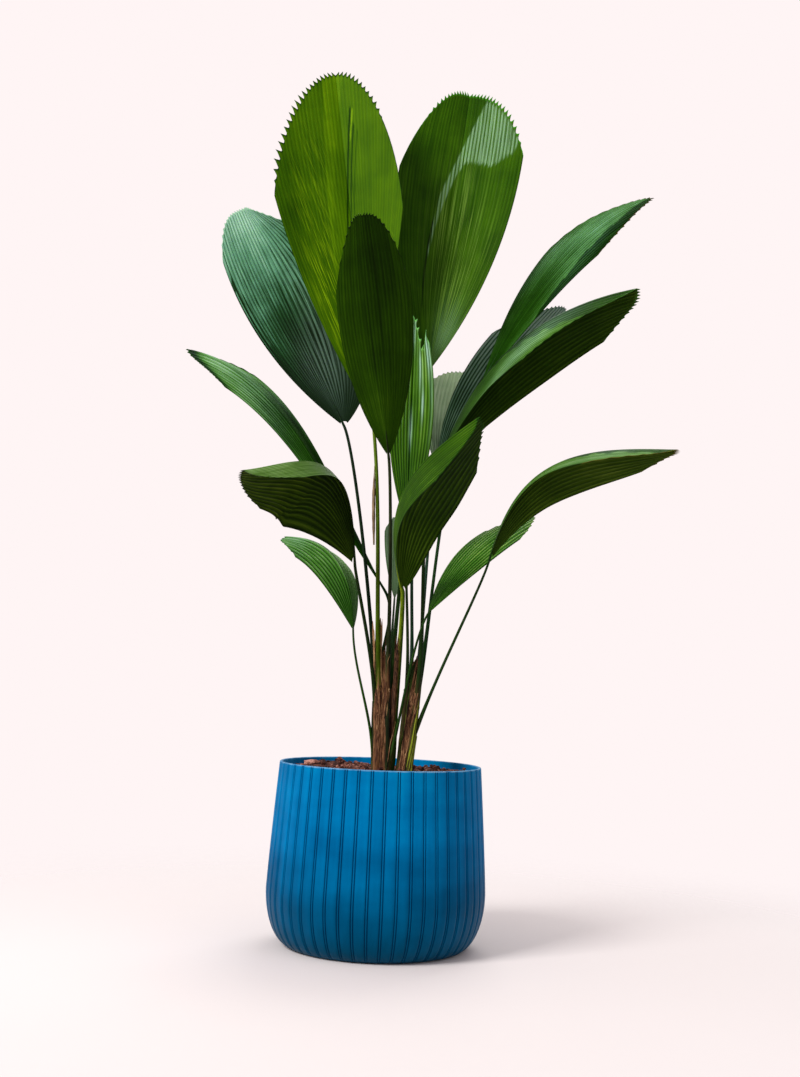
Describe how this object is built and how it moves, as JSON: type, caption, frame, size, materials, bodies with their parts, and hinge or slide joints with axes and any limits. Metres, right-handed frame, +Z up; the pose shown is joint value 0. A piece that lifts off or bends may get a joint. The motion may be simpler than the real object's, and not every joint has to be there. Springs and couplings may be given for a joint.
{
  "type": "potted fan palm",
  "caption": "Fan palm with broad pleated, tooth-edged fronds on slender petioles, rising from fibrous stems in a round ribbed planter filled with soil.",
  "frame": {"origin": "centre of the planter's flat foot, where it rests", "axes": "+Z up along the plant, -Y towards the viewer of the reference picture, +X to the right in it"},
  "size_m": [0.7002, 0.5675, 1.2501],
  "materials": {
    "planter": "satin",
    "soil": "rough",
    "stem": "fibrous",
    "leaf_bright": "semi-gloss",
    "leaf_green": "semi-gloss",
    "leaf_dark": "semi-gloss",
    "leaf_blue": "semi-gloss",
    "leaf_pale": "satin",
    "dry_leaf": "matt"
  },
  "bodies": {
    "root": {"planter": "planter", "soil": "soil", "stem_left": "stem", "stem_right": "stem", "frond_upper_left": "leaf_bright", "frond_upper_right": "leaf_green", "frond_young": "leaf_bright", "frond_front": "leaf_dark", "frond_left_blue": "leaf_blue", "frond_left_long": "leaf_green", "frond_left_droop": "leaf_dark", "frond_left_low": "leaf_green", "frond_centre_droop": "leaf_dark", "frond_right_high": "leaf_blue", "frond_right_middle": "leaf_dark", "frond_right_slate": "leaf_blue", "frond_back_right": "leaf_pale", "frond_right_low": "leaf_dark", "frond_right_low_back": "leaf_green", "frond_back_small": "leaf_pale", "dried_spear": "dry_leaf"}
  },
  "joints": []
}
